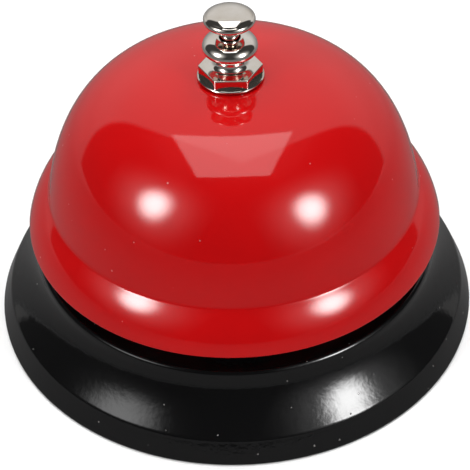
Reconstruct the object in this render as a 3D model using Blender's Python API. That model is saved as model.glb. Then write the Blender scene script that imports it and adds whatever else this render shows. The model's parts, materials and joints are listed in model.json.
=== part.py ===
"""Desk call bell: a sprung push button in the middle swings a hammer against the inside of a steel gong.

Units are metres and Z is up. The bell stands on the plane z = 0 and its button's axis is the Z axis.
The hammer lies along +X from that axis. Every piece is one closed solid with about 0.3 mm round it.
"""

import math

import bmesh
import bpy

MM = 0.001
FIT = 0.3 * MM
CUT = 5.0 * MM

# Gong
GONG_SPAN = 33.13 * MM
GONG_LOW = -4.35 * MM
GONG_TOP = 46.97 * MM
GONG_POWER = 3.45
GONG_WALL = 1.0 * MM
GONG_BORE = 3.35 * MM
GONG_CREASE_START = 31.2 * MM
GONG_CREASE = ((31.4, 26.3), (31.55, 25.45), (31.8, 25.2))
GONG_LIP = ((31.8, 25.2), (34.55, 22.5), (35.53, 18.34))
CROWN_STEPS = 9
GONG_SEGMENTS = 52

# Base
DECK_TOP = 14.0 * MM
BASE_WALL = 0.9 * MM
DECK_BORE = 17.0 * MM
BASE_EDGE = 0.15 * MM
BASE_SHOULDER = ((33.7, 14.0), (34.6, 14.0), (34.7, 13.0))
BASE_FLARE = ((34.75, 12.5), (35.5, 9.2), (40.05, 4.6))
BASE_ROLL_CORNER = ((40.05, 4.6), (40.35, 4.3), (40.5, 3.9))
BASE_ROLL = ((40.5, 3.9), (41.3, 2.2), (42.05, 0.15))
BASE_SEGMENTS = 52
RING_PROFILE = ((37.0, 0.0), (40.4, 0.0), (40.4, 1.3), (39.7, 2.6), (38.2, 4.2), (37.0, 4.2))

# Bridge bracket: an inverted U over the hole in the deck
STRAP_HALF_WIDTH = 8.0 * MM
STRAP_WALL = 1.2 * MM
STRAP_TOP = 25.8 * MM
LEG_INSIDE = 18.2 * MM
FOOT_END = 26.0 * MM
FOOT_BEND = 1.0 * MM
EAR_X = (3.4 * MM, 7.6 * MM)
EAR_INSIDE = 3.2 * MM
EAR_LOW = 19.0 * MM
EAR_WINDOW = 4.2 * MM
RIVET_X = 5.0 * MM
RIVET_Y = 22.7 * MM
RIVET_SHANK = 1.0 * MM
RIVET_HEAD = 1.9 * MM
RIVET_HEAD_HEIGHT = 1.0 * MM
RIVET_TAIL = 1.7 * MM
RIVET_TAIL_HEIGHT = 0.7 * MM

# Post that carries the gong
POST_RADIUS = 3.0 * MM
POST_BORE = 2.25 * MM
POST_GUIDE_BORE = 1.3 * MM
POST_FLANGE = 4.4 * MM
POST_FLANGE_LOW = 23.3 * MM
POST_FLANGE_TOP = 24.3 * MM
POST_SEAT = 27.0 * MM
POST_TOP = 48.6 * MM
POST_CHAMFER = 0.3 * MM

# Nuts and washers on the post
NUT_BORE = 3.25 * MM
NUT_FLATS = 9.0 * MM
NUT_HEIGHT = 2.6 * MM
NUT_CHAMFER = 0.35 * MM
WASHER_RADIUS = 5.6 * MM
WASHER_WALL = 0.6 * MM
FIBRE_RADIUS = 6.5 * MM
FIBRE_WALL = 1.0 * MM

# Finial nut: thin flange, hexagon, neck and rounded collar
FINIAL_FLANGE = 5.44 * MM
FINIAL_LOW = 47.25 * MM
FINIAL_FLANGE_TOP = 47.65 * MM
HEX_CORNER = 5.27 * MM
HEX_TOP = 49.25 * MM
FINIAL_THREAD = 3.3 * MM
FINIAL_THREAD_TOP = 48.9 * MM
FINIAL_BORE = 1.75 * MM
NECK_FILLET = ((3.5, 49.25), (2.4, 49.35), (2.35, 50.6))
NECK_TOP = (2.35, 51.7)
COLLAR_LOWER = ((3.2, 51.85), (4.5, 51.9), (4.5, 52.9))
COLLAR_UPPER = ((4.5, 52.9), (4.45, 54.1), (2.9, 54.6))
COLLAR_LIP = (2.0, 54.8)

# Plunger: button, rod, collar
CAP_CROWN = ((0.0, 59.5), (2.9, 59.48), (3.75, 58.66))
CAP_EDGE = ((3.75, 58.66), (4.15, 58.45), (4.15, 58.05))
CAP_UNDER = ((4.15, 58.05), (4.15, 57.5), (3.6, 57.4))
CAP_SOCKET = 1.8 * MM
CAP_SOCKET_TOP = 58.4 * MM
ROD_RADIUS = 1.5 * MM
ROD_TOP = 58.1 * MM
ROD_THIN = 1.0 * MM
ROD_STEP = 35.6 * MM
COLLAR_RADIUS = 2.0 * MM
COLLAR_LOW = 34.4 * MM
COLLAR_TOP = 35.3 * MM

# Spring in the post
SPRING_RADIUS = 1.8 * MM
SPRING_WIRE = 0.2 * MM
SPRING_TURNS = 7
SPRING_STEPS = 12
SPRING_SIDES = 6
SPRING_LOW = 27.45 * MM
SPRING_HIGH = 34.0 * MM

# Hammer
PIVOT = (5.5 * MM, 0.0, 21.0 * MM)
PIN_RADIUS = 0.75 * MM
PIN_HALF = 5.6 * MM
PIN_HEAD_RADIUS = 1.4 * MM
PIN_HEAD_HEIGHT = 0.7 * MM
CLIP_RADIUS = 1.9 * MM
CLIP_WALL = 0.4 * MM
CLIP_GAP = 0.15 * MM
CLIP_SLOT_HALF = 0.45 * MM
HUB_RADIUS = 1.75 * MM
HUB_BORE = 1.05 * MM
HUB_HALF = 2.8 * MM
ARM_HALF_WIDTH = 2.0 * MM
ARM_WALL = 1.2 * MM
ARM_TAIL = 7.4 * MM
SLUG_REACH = 22.2 * MM
SLUG_RADIUS = 2.6 * MM
SLUG_HEIGHT = 3.9 * MM
SLUG_EDGE = 0.9 * MM
SLUG_SHANK = 0.9 * MM
SLUG_HEAD = 1.6 * MM
SLUG_HEAD_HEIGHT = 0.7 * MM

MATERIALS = {
    "red_enamel": ((0.55, 0.004, 0.008), 0.12, 0.0),
    "black_enamel": ((0.006, 0.006, 0.007), 0.14, 0.0),
    "bright_nickel": ((0.78, 0.75, 0.71), 0.08, 1.0),
    "zinc_steel": ((0.55, 0.55, 0.53), 0.32, 1.0),
    "spring_steel": ((0.36, 0.36, 0.38), 0.28, 1.0),
    "brass": ((0.68, 0.46, 0.17), 0.25, 1.0),
    "red_fibre": ((0.20, 0.035, 0.02), 0.75, 0.0),
    "rubber": ((0.02, 0.02, 0.02), 0.85, 0.0),
}


def clear_scene():
    for obj in list(bpy.data.objects):
        bpy.data.objects.remove(obj, do_unlink=True)


def paint(obj, kind):
    colour, roughness, metallic = MATERIALS[kind]
    material = bpy.data.materials.new(obj.name + "_" + kind)
    material.use_nodes = True
    shader = material.node_tree.nodes["Principled BSDF"]
    shader.inputs["Base Color"].default_value = (*colour, 1.0)
    shader.inputs["Roughness"].default_value = roughness
    shader.inputs["Metallic"].default_value = metallic
    material.diffuse_color = (*colour, 1.0)
    obj.data.materials.append(material)


def solid(name, vertices, faces, kind, smooth_angle=35):
    """A mesh object with its faces turned outwards, smooth where it is round."""
    mesh = bpy.data.meshes.new(name)
    mesh.from_pydata(vertices, [], faces)
    work = bmesh.new()
    work.from_mesh(mesh)
    bmesh.ops.recalc_face_normals(work, faces=work.faces)
    work.to_mesh(mesh)
    work.free()
    obj = bpy.data.objects.new(name, mesh)
    bpy.context.scene.collection.objects.link(obj)
    if kind:
        paint(obj, kind)
    mesh.shade_smooth()
    mesh.set_sharp_from_angle(angle=math.radians(smooth_angle))
    return obj


def lathe(name, profile, segments, kind, centre=(0.0, 0.0)):
    """Turns a closed (r, z) outline round the Z axis. Points at r = 0 become the poles of a solid piece."""
    vertices = []
    rings = []
    for radius, height in profile:
        start = len(vertices)
        if radius <= 0.0:
            vertices.append((centre[0], centre[1], height))
            rings.append([start] * segments)
            continue
        for step in range(segments):
            angle = 2 * math.pi * step / segments
            x = centre[0] + radius * math.cos(angle)
            y = centre[1] + radius * math.sin(angle)
            vertices.append((x, y, height))
        rings.append(list(range(start, start + segments)))
    faces = []
    for low, high in zip(rings, rings[1:] + rings[:1]):
        for step in range(segments):
            after = (step + 1) % segments
            corners = [low[step], low[after], high[after], high[step]]
            face = list(dict.fromkeys(corners))
            if len(face) > 2:
                faces.append(face)
    return solid(name, vertices, faces, kind)


def prism(name, outline, low, high, kind, axis="Z"):
    """Extrudes an outline between two levels of one axis. For "Y" the outline is in (x, z)."""
    count = len(outline)
    vertices = []
    for level in (low, high):
        for u, v in outline:
            vertices.append((u, v, level) if axis == "Z" else (u, level, v))
    faces = [list(range(count)), list(range(count, 2 * count))]
    for step in range(count):
        after = (step + 1) % count
        faces.append([step, after, count + after, count + step])
    return solid(name, vertices, faces, kind)


def box(name, low, high, kind=None):
    outline = ((low[0], low[1]), (high[0], low[1]), (high[0], high[1]), (low[0], high[1]))
    return prism(name, outline, low[2], high[2], kind)


def circle(radius, segments, centre=(0.0, 0.0), start=0.0):
    points = []
    for step in range(segments):
        angle = start + 2 * math.pi * step / segments
        points.append((centre[0] + radius * math.cos(angle), centre[1] + radius * math.sin(angle)))
    return points


def combine(obj, other, operation):
    """Applies an exact Boolean with a helper, then removes the helper."""
    modifier = obj.modifiers.new(operation.lower(), "BOOLEAN")
    modifier.operation = operation
    modifier.solver = "EXACT"
    modifier.object = other
    graph = bpy.context.evaluated_depsgraph_get()
    graph.update()
    result = bpy.data.meshes.new_from_object(obj.evaluated_get(graph))
    obj.modifiers.clear()
    obj.data = result
    bpy.data.objects.remove(other, do_unlink=True)
    result.shade_smooth()
    result.set_sharp_from_angle(angle=math.radians(35))


def set_origin(obj, point):
    """Moves the object's origin to a point and leaves its shape where it is."""
    for vertex in obj.data.vertices:
        vertex.co.x -= point[0]
        vertex.co.y -= point[1]
        vertex.co.z -= point[2]
    obj.location = point


def in_mm(points):
    return [(a * MM, b * MM) for a, b in points]


def offset_inwards(profile, distance):
    """Moves an outline that runs outwards and down to its right-hand side, which is the inside."""
    moved = []
    for index, (r, z) in enumerate(profile):
        before = profile[max(index - 1, 0)]
        after = profile[min(index + 1, len(profile) - 1)]
        run = after[0] - before[0]
        drop = after[1] - before[1]
        length = math.hypot(run, drop)
        moved.append((r + drop / length * distance, z - run / length * distance))
    return moved


def bend(corners, steps):
    """A quadratic Bezier curve: from the first corner to the last, drawn towards the middle one."""
    start, pull, end = corners
    points = []
    for step in range(steps + 1):
        t = step / steps
        weights = ((1 - t) ** 2, 2 * t * (1 - t), t * t)
        r = weights[0] * start[0] + weights[1] * pull[0] + weights[2] * end[0]
        z = weights[0] * start[1] + weights[1] * pull[1] + weights[2] * end[1]
        points.append((r, z))
    return points


def gong_outside():
    """The crown is a superellipse down to the crease, and the lip flares out below it."""
    points = [(GONG_BORE, GONG_TOP)]
    for step in range(1, CROWN_STEPS + 1):
        radius = GONG_CREASE_START * math.sin(math.pi / 2 * step / CROWN_STEPS)
        points.append((radius, crown_height(radius)))
    return points + in_mm(bend(GONG_CREASE, 2) + bend(GONG_LIP, 5)[1:])


def base_outside():
    """Deck, rounded shoulder, short wall, hollow flare and rounded foot."""
    flare = bend(BASE_FLARE, 5)
    foot = bend(BASE_ROLL_CORNER, 2)[1:] + bend(BASE_ROLL, 3)[1:]
    return [(DECK_BORE, DECK_TOP)] + in_mm(bend(BASE_SHOULDER, 3) + flare + foot)


def crown_height(radius):
    share = 1.0 - (radius / GONG_SPAN) ** GONG_POWER
    return GONG_LOW + (GONG_TOP - GONG_LOW) * share ** (1.0 / GONG_POWER)


def make_gong():
    outside = gong_outside()
    inside = offset_inwards(outside, GONG_WALL)
    inside[0] = (GONG_BORE, GONG_TOP - GONG_WALL)
    inside[-1] = (outside[-1][0] - GONG_WALL, outside[-1][1])
    lathe("gong", outside + inside[::-1], GONG_SEGMENTS, "red_enamel")


def make_base():
    outside = base_outside()
    inside = offset_inwards(outside, BASE_WALL)
    inside[0] = (DECK_BORE, DECK_TOP - BASE_WALL)
    inside[-1] = (outside[-1][0] - BASE_WALL, BASE_EDGE)
    shell = lathe("base_shell", outside + inside[::-1], BASE_SEGMENTS, "black_enamel")
    for x in (-RIVET_X, RIVET_X):
        for y in (-RIVET_Y, RIVET_Y):
            combine(shell, rivet_hole(x, y), "DIFFERENCE")
    lathe("non_slip_ring", in_mm(RING_PROFILE), BASE_SEGMENTS, "rubber")


def rivet_hole(x, y):
    outline = circle(RIVET_SHANK + FIT, 12, (x, y))
    return prism("rivet_hole", outline, DECK_TOP - CUT, DECK_TOP + CUT, None)


def strap_outline():
    """The bracket's side view in (y, z): foot, leg, top, leg, foot."""
    foot_low = DECK_TOP + FIT
    foot_top = foot_low + STRAP_WALL
    leg_out = LEG_INSIDE + STRAP_WALL
    under = STRAP_TOP - STRAP_WALL
    outer_low = ((leg_out + FOOT_BEND, foot_top), (leg_out, foot_top), (leg_out, foot_top + FOOT_BEND))
    outer_top = ((leg_out, STRAP_TOP - FOOT_BEND), (leg_out, STRAP_TOP), (leg_out - FOOT_BEND, STRAP_TOP))
    inner_top = ((LEG_INSIDE - FOOT_BEND, under), (LEG_INSIDE, under), (LEG_INSIDE, under - FOOT_BEND))
    inner_low = ((LEG_INSIDE, foot_low + FOOT_BEND), (LEG_INSIDE, foot_low), (LEG_INSIDE + FOOT_BEND, foot_low))
    right = [(FOOT_END, foot_low), (FOOT_END, foot_top)] + bend(outer_low, 2) + bend(outer_top, 2)
    inner = bend(inner_top, 2) + bend(inner_low, 2)
    left = [(-y, z) for y, z in reversed(right)]
    left_inner = [(-y, z) for y, z in reversed(inner)]
    return right + left + left_inner + inner


def make_bracket():
    outline = strap_outline()
    count = len(outline)
    vertices = [(-STRAP_HALF_WIDTH, y, z) for y, z in outline]
    vertices += [(STRAP_HALF_WIDTH, y, z) for y, z in outline]
    faces = [list(range(count)), list(range(count, 2 * count))]
    for step in range(count):
        after = (step + 1) % count
        faces.append([step, after, count + after, count + step])
    bracket = solid("bridge_bracket", vertices, faces, "zinc_steel")
    for side in (-1, 1):
        combine(bracket, ear(side), "UNION")
        combine(bracket, ear_window(side), "DIFFERENCE")
    post_hole = circle(POST_RADIUS + FIT, 24)
    combine(bracket, prism("post_hole", post_hole, STRAP_TOP - CUT, STRAP_TOP + CUT, None), "DIFFERENCE")
    pin_hole = circle(PIN_RADIUS + FIT, 12, (PIVOT[0], PIVOT[2]))
    reach = EAR_INSIDE + 2 * STRAP_WALL
    combine(bracket, prism("pin_hole", pin_hole, -reach, reach, None, axis="Y"), "DIFFERENCE")
    for x in (-RIVET_X, RIVET_X):
        for y in (-RIVET_Y, RIVET_Y):
            combine(bracket, rivet_hole(x, y), "DIFFERENCE")


def ear(side):
    """A tab that is bent down out of the strap and carries the pivot pin."""
    middle = (EAR_X[0] + EAR_X[1]) / 2
    half = (EAR_X[1] - EAR_X[0]) / 2
    top = STRAP_TOP - STRAP_WALL / 2
    outline = [(EAR_X[1], top), (EAR_X[0], top)]
    for step in range(7):
        angle = math.pi + math.pi * step / 6
        outline.append((middle + half * math.cos(angle), EAR_LOW + half + half * math.sin(angle)))
    near = side * EAR_INSIDE
    far = side * (EAR_INSIDE + STRAP_WALL)
    return prism("ear", outline, min(near, far), max(near, far), None, axis="Y")


def ear_window(side):
    near = side * (EAR_INSIDE + STRAP_WALL)
    far = side * (EAR_INSIDE + STRAP_WALL + EAR_WINDOW)
    low = (EAR_X[0], min(near, far), STRAP_TOP - 2 * STRAP_WALL)
    high = (EAR_X[1], max(near, far), STRAP_TOP + STRAP_WALL)
    return box("ear_window", low, high)


def make_rivets():
    foot_top = DECK_TOP + FIT + STRAP_WALL
    under = DECK_TOP - BASE_WALL - FIT
    head_low = foot_top + FIT
    tail_low = under - RIVET_TAIL_HEIGHT
    tail = bend(((0.0, tail_low), (RIVET_TAIL, tail_low), (RIVET_TAIL, under)), 3)
    shank = [(RIVET_SHANK, under), (RIVET_SHANK, head_low)]
    head_top = head_low + RIVET_HEAD_HEIGHT
    head = bend(((RIVET_HEAD, head_low), (RIVET_HEAD, head_top), (0.0, head_top)), 3)
    profile = tail + shank + head
    places = ((-1, -1), (1, -1), (1, 1), (-1, 1))
    for number, (side_x, side_y) in enumerate(places, start=1):
        centre = (side_x * RIVET_X, side_y * RIVET_Y)
        lathe(f"bracket_rivet_{number}", profile, 12, "zinc_steel", centre)


def make_post():
    profile = [
        (POST_GUIDE_BORE, POST_FLANGE_LOW),
        (POST_FLANGE, POST_FLANGE_LOW),
        (POST_FLANGE, POST_FLANGE_TOP),
        (POST_RADIUS, POST_FLANGE_TOP),
        (POST_RADIUS, POST_TOP - POST_CHAMFER),
        (POST_RADIUS - POST_CHAMFER, POST_TOP),
        (POST_BORE, POST_TOP),
        (POST_BORE, POST_SEAT),
        (POST_GUIDE_BORE, POST_SEAT),
    ]
    lathe("center_post", profile, 24, "zinc_steel")


def ring(name, inner, outer, low, high, kind, segments=24):
    lathe(name, [(inner, low), (outer, low), (outer, high), (inner, high)], segments, kind)


def hex_nut(name, low, high, kind):
    """A hexagon nut with its corners turned off and a flat facing -Y."""
    corner = NUT_FLATS / math.sqrt(3)
    face = corner - NUT_CHAMFER
    nut = prism(name, circle(corner, 6), low, high, kind)
    turned = [
        (0.0, low - MM),
        (face, low - MM),
        (face, low),
        (corner + NUT_CHAMFER, low + NUT_CHAMFER),
        (corner + NUT_CHAMFER, high - NUT_CHAMFER),
        (face, high),
        (face, high + MM),
        (0.0, high + MM),
    ]
    combine(nut, lathe("turned_blank", turned, 24, None), "INTERSECT")
    bore = prism("nut_bore", circle(NUT_BORE, 24), low - MM, high + MM, None)
    combine(nut, bore, "DIFFERENCE")


def make_clamp_stack():
    """What holds the post on the bracket and the gong on the post."""
    level = STRAP_TOP + FIT
    ring("post_washer", NUT_BORE, WASHER_RADIUS, level, level + WASHER_WALL, "zinc_steel")
    level += WASHER_WALL + FIT
    hex_nut("post_lock_nut", level, level + NUT_HEIGHT, "zinc_steel")
    under_gong = GONG_TOP - GONG_WALL - FIT
    ring("gong_washer", NUT_BORE, FIBRE_RADIUS, under_gong - FIBRE_WALL, under_gong, "red_fibre")
    seat = under_gong - FIBRE_WALL - FIT
    ring("steel_washer", NUT_BORE, WASHER_RADIUS, seat - WASHER_WALL, seat, "zinc_steel")
    seat -= WASHER_WALL + FIT
    hex_nut("gong_support_nut", seat - NUT_HEIGHT, seat, "zinc_steel")


def make_finial():
    """Flange and hexagon, with the neck and the rounded collar turned in one piece."""
    hexagon = prism("finial_nut", circle(HEX_CORNER, 6), FINIAL_LOW, HEX_TOP, "bright_nickel")
    flange = prism("flange", circle(FINIAL_FLANGE, 30), FINIAL_LOW, FINIAL_FLANGE_TOP, None)
    combine(hexagon, flange, "UNION")
    collar = bend(COLLAR_LOWER, 3) + bend(COLLAR_UPPER, 4)[1:] + [COLLAR_LIP]
    turned = in_mm(bend(NECK_FILLET, 3) + [NECK_TOP] + collar)
    inside_hex = (FINIAL_FLANGE_TOP + HEX_TOP) / 2
    foot = [(0.0, inside_hex), (turned[0][0], inside_hex)]
    top = turned[-1][1]
    combine(hexagon, lathe("neck", foot + turned + [(0.0, top)], 30, None), "UNION")
    thread = prism("thread", circle(FINIAL_THREAD, 24), FINIAL_LOW - MM, FINIAL_THREAD_TOP, None)
    combine(hexagon, thread, "DIFFERENCE")
    bore = prism("bore", circle(FINIAL_BORE, 24), FINIAL_LOW - MM, top + MM, None)
    combine(hexagon, bore, "DIFFERENCE")


def make_plunger():
    """Button, rod and collar. They slide down together along the Z axis."""
    cap = in_mm(bend(CAP_CROWN, 4) + bend(CAP_EDGE, 2)[1:] + bend(CAP_UNDER, 2)[1:])
    under = cap[-1][1]
    socket = [
        (CAP_SOCKET, under),
        (CAP_SOCKET, CAP_SOCKET_TOP),
        (0.0, CAP_SOCKET_TOP),
    ]
    button = lathe("push_button", cap + socket, 30, "bright_nickel")
    rod_profile = [
        (0.0, ROD_TOP),
        (ROD_RADIUS, ROD_TOP),
        (ROD_RADIUS, ROD_STEP),
        (ROD_THIN, ROD_STEP),
    ]
    tip = rod_tip()
    rod_profile += bend(((ROD_THIN, tip + ROD_THIN), (ROD_THIN, tip), (0.0, tip)), 4)
    rod = lathe("plunger_rod", rod_profile, 20, "bright_nickel")
    collar_profile = [
        (ROD_THIN + FIT, COLLAR_LOW),
        (COLLAR_RADIUS, COLLAR_LOW),
        (COLLAR_RADIUS, COLLAR_TOP),
        (ROD_THIN + FIT, COLLAR_TOP),
    ]
    collar = lathe("rod_collar", collar_profile, 20, "brass")
    for obj in (button, rod, collar):
        set_origin(obj, (0.0, 0.0, ROD_TOP))


def rod_tip():
    """The rod ends just above the tail of the hammer's arm."""
    return PIVOT[2] + ARM_WALL / 2 + FIT + 0.05 * MM


def make_spring():
    steps = SPRING_TURNS * SPRING_STEPS
    sides = SPRING_SIDES
    vertices = []
    for step in range(steps + 1):
        angle = 2 * math.pi * step / SPRING_STEPS
        height = SPRING_LOW + (SPRING_HIGH - SPRING_LOW) * step / steps
        for side in range(sides):
            turn = 2 * math.pi * side / sides
            radius = SPRING_RADIUS + SPRING_WIRE * math.cos(turn)
            z = height + SPRING_WIRE * math.sin(turn)
            vertices.append((radius * math.cos(angle), radius * math.sin(angle), z))
    faces = [list(range(sides)), list(range(steps * sides, (steps + 1) * sides))]
    for step in range(steps):
        for side in range(sides):
            after = (side + 1) % sides
            low = step * sides
            high = low + sides
            faces.append([low + side, low + after, high + after, high + side])
    spring = solid("return_spring", vertices, faces, "spring_steel", 70)
    set_origin(spring, (0.0, 0.0, POST_SEAT))


def make_hammer():
    """Arm with its hub on the pivot pin, and a slug riveted under the far end."""
    x, _, z = PIVOT
    end = x + SLUG_REACH
    low = (x - ARM_TAIL, -ARM_HALF_WIDTH, z - ARM_WALL / 2)
    high = (end, ARM_HALF_WIDTH, z + ARM_WALL / 2)
    arm = box("hammer_arm", low, high, "zinc_steel")
    tip = prism("arm_end", circle(ARM_HALF_WIDTH, 20, (end, 0.0)), low[2], high[2], None)
    combine(arm, tip, "UNION")
    hub = prism("hub", circle(HUB_RADIUS, 20, (x, z)), -HUB_HALF, HUB_HALF, None, axis="Y")
    combine(arm, hub, "UNION")
    bore = prism("hub_bore", circle(HUB_BORE, 16, (x, z)), -CUT, CUT, None, axis="Y")
    combine(arm, bore, "DIFFERENCE")
    hole = prism("slug_hole", circle(SLUG_SHANK + FIT, 16, (end, 0.0)), z - CUT, z + CUT, None)
    combine(arm, hole, "DIFFERENCE")
    slug = make_slug(end, z)
    for obj in (arm, slug):
        set_origin(obj, PIVOT)


def make_slug(x, z):
    top = z - ARM_WALL / 2 - FIT
    low = top - SLUG_HEIGHT
    head_low = z + ARM_WALL / 2 + FIT
    head_top = head_low + SLUG_HEAD_HEIGHT
    inner = SLUG_RADIUS - SLUG_EDGE
    foot = bend(((inner, low), (SLUG_RADIUS, low), (SLUG_RADIUS, low + SLUG_EDGE)), 3)
    shoulder = bend(((SLUG_RADIUS, top - SLUG_EDGE), (SLUG_RADIUS, top), (inner, top)), 3)
    shank = [(SLUG_SHANK, top), (SLUG_SHANK, head_low)]
    head = bend(((SLUG_HEAD, head_low), (SLUG_HEAD, head_top), (0.0, head_top)), 3)
    return lathe("hammer_slug", [(0.0, low)] + foot + shoulder + shank + head, 20, "brass", (x, 0.0))


def make_pivot():
    """The pin through the bracket's ears, with a head at one end and a clip at the other."""
    x, _, z = PIVOT
    head_end = -PIN_HALF - PIN_HEAD_HEIGHT
    pin = prism("pivot_pin", circle(PIN_RADIUS, 16, (x, z)), -PIN_HALF, PIN_HALF, "zinc_steel", "Y")
    head = prism("pin_head", circle(PIN_HEAD_RADIUS, 16, (x, z)), head_end, -PIN_HALF + FIT / 3, None, "Y")
    combine(pin, head, "UNION")
    near = EAR_INSIDE + STRAP_WALL + FIT
    clip = prism("pin_clip", circle(CLIP_RADIUS, 16, (x, z)), near, near + CLIP_WALL, "spring_steel", "Y")
    bore = prism("clip_bore", circle(PIN_RADIUS + CLIP_GAP, 16, (x, z)), near - MM, near + MM, None, "Y")
    combine(clip, bore, "DIFFERENCE")
    slot_low = (x - CLIP_SLOT_HALF, near - MM, z - 2 * CLIP_RADIUS)
    slot = box("clip_slot", slot_low, (x + CLIP_SLOT_HALF, near + MM, z))
    combine(clip, slot, "DIFFERENCE")


clear_scene()
make_base()
make_gong()
make_bracket()
make_rivets()
make_post()
make_clamp_stack()
make_finial()
make_pivot()
make_plunger()
make_spring()
make_hammer()
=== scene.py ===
"""Looks for the desk call bell: smooth shells, turned and milled hardware, enamel and nickel, a plain studio.

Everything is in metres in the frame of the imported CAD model, with the button's axis on Z and the camera on
the -Y side. The rest are named below, in metres.
"""

import json
import math

import bmesh
import bpy
from mathutils import Matrix, Vector

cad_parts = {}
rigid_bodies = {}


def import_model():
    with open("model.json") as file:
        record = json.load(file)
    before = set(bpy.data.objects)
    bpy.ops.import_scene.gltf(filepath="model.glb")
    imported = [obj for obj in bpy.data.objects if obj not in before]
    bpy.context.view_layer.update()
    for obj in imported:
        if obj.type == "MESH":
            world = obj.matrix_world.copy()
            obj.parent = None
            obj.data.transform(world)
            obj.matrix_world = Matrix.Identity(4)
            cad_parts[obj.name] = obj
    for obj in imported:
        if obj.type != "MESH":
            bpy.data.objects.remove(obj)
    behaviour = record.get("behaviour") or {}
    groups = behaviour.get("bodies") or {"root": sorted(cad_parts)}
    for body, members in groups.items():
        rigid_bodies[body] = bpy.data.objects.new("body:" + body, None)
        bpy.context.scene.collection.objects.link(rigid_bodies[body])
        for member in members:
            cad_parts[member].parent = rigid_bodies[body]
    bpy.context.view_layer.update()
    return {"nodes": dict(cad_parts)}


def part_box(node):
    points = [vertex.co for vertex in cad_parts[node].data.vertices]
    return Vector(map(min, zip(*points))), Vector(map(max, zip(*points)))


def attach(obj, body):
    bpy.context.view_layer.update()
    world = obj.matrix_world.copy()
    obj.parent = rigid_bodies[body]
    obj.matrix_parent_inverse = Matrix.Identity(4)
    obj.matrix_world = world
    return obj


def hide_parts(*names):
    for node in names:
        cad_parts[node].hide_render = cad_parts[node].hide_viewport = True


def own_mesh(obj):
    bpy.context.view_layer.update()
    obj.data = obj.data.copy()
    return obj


MM = 0.001
ROUND = 256
FINE = 96
MOST_OF_EDGE = 0.45


# ---------------------------------------------------------------- start

def clear_scene():
    for obj in list(bpy.data.objects):
        bpy.data.objects.remove(obj, do_unlink=True)


clear_scene()
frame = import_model()


def low(node):
    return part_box(node)[0]


def high(node):
    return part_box(node)[1]


# ---------------------------------------------------------------- mesh helpers

def mesh_object(name, vertices, faces, angle=32):
    """A smooth-shaded object with its faces turned outwards and its real edges kept sharp."""
    mesh = bpy.data.meshes.new(name)
    mesh.from_pydata(vertices, [], faces)
    work = bmesh.new()
    work.from_mesh(mesh)
    bmesh.ops.recalc_face_normals(work, faces=work.faces)
    work.to_mesh(mesh)
    work.free()
    mesh.shade_smooth()
    mesh.set_sharp_from_angle(angle=math.radians(angle))
    obj = bpy.data.objects.new(name, mesh)
    bpy.context.scene.collection.objects.link(obj)
    return obj


def loft(name, rings, segments=ROUND, centre=(0.0, 0.0), angle=32):
    """Joins rings round the Z axis into a closed surface. A ring is (radius, z), and radius may be a function
    of the angle. A radius of 0 is a pole."""
    vertices = []
    loops = []
    for radius, z in rings:
        start = len(vertices)
        if not callable(radius) and radius <= 0.0:
            vertices.append((centre[0], centre[1], z))
            loops.append([start] * segments)
            continue
        for step in range(segments):
            turn = 2 * math.pi * step / segments
            r = radius(turn) if callable(radius) else radius
            vertices.append((centre[0] + r * math.cos(turn), centre[1] + r * math.sin(turn), z))
        loops.append(list(range(start, start + segments)))
    faces = []
    for one, two in zip(loops, loops[1:] + loops[:1]):
        for step in range(segments):
            after = (step + 1) % segments
            face = list(dict.fromkeys([one[step], one[after], two[after], two[step]]))
            if len(face) > 2:
                faces.append(face)
    return mesh_object(name, vertices, faces, angle)


def bend(corners, steps):
    """A quadratic Bezier curve from the first corner to the last, drawn towards the middle one."""
    start, pull, end = corners
    points = []
    for step in range(steps + 1):
        t = step / steps
        a, b, c = (1 - t) ** 2, 2 * t * (1 - t), t * t
        points.append((a * start[0] + b * pull[0] + c * end[0], a * start[1] + b * pull[1] + c * end[1]))
    return points


def in_mm(points):
    return [(a * MM, b * MM) for a, b in points]


def normals(outline):
    """Unit normals to the right of an outline, which is into a shell that runs outwards and down."""
    result = []
    for index in range(len(outline)):
        before = outline[max(index - 1, 0)]
        after = outline[min(index + 1, len(outline) - 1)]
        run, drop = after[0] - before[0], after[1] - before[1]
        length = math.hypot(run, drop)
        result.append((drop / length, -run / length))
    return result


def shell(outside, wall, steps=8):
    """A closed outline of a pressed sheet: outside, rounded edge, inside, rounded edge."""
    inward = normals(outside)
    inside = [(r + n[0] * wall, z + n[1] * wall) for (r, z), n in zip(outside, inward)]
    return outside + half_round(outside[-1], inside[-1], steps) + inside[::-1] + half_round(
        inside[0], outside[0], steps
    )


def half_round(start, end, steps):
    """Points strictly between two corners, on the half circle that bulges to the left of start to end."""
    middle = ((start[0] + end[0]) / 2, (start[1] + end[1]) / 2)
    arm = (start[0] - middle[0], start[1] - middle[1])
    points = []
    for step in range(1, steps):
        turn = math.pi * step / steps
        c, s = math.cos(-turn), math.sin(-turn)
        points.append((middle[0] + arm[0] * c - arm[1] * s, middle[1] + arm[0] * s + arm[1] * c))
    return points


def rounded(outline, radius, steps=4):
    """Rounds every corner of a closed outline by a small arc."""
    points = []
    count = len(outline)
    for index, corner in enumerate(outline):
        before, after = outline[index - 1], outline[(index + 1) % count]
        to_before = (before[0] - corner[0], before[1] - corner[1])
        to_after = (after[0] - corner[0], after[1] - corner[1])
        length_b, length_a = math.hypot(*to_before), math.hypot(*to_after)
        cut = min(radius, MOST_OF_EDGE * length_b, MOST_OF_EDGE * length_a)
        start = (corner[0] + to_before[0] / length_b * cut, corner[1] + to_before[1] / length_b * cut)
        end = (corner[0] + to_after[0] / length_a * cut, corner[1] + to_after[1] / length_a * cut)
        points += bend((start, corner, end), steps)
    return points


# ---------------------------------------------------------------- materials

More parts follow.
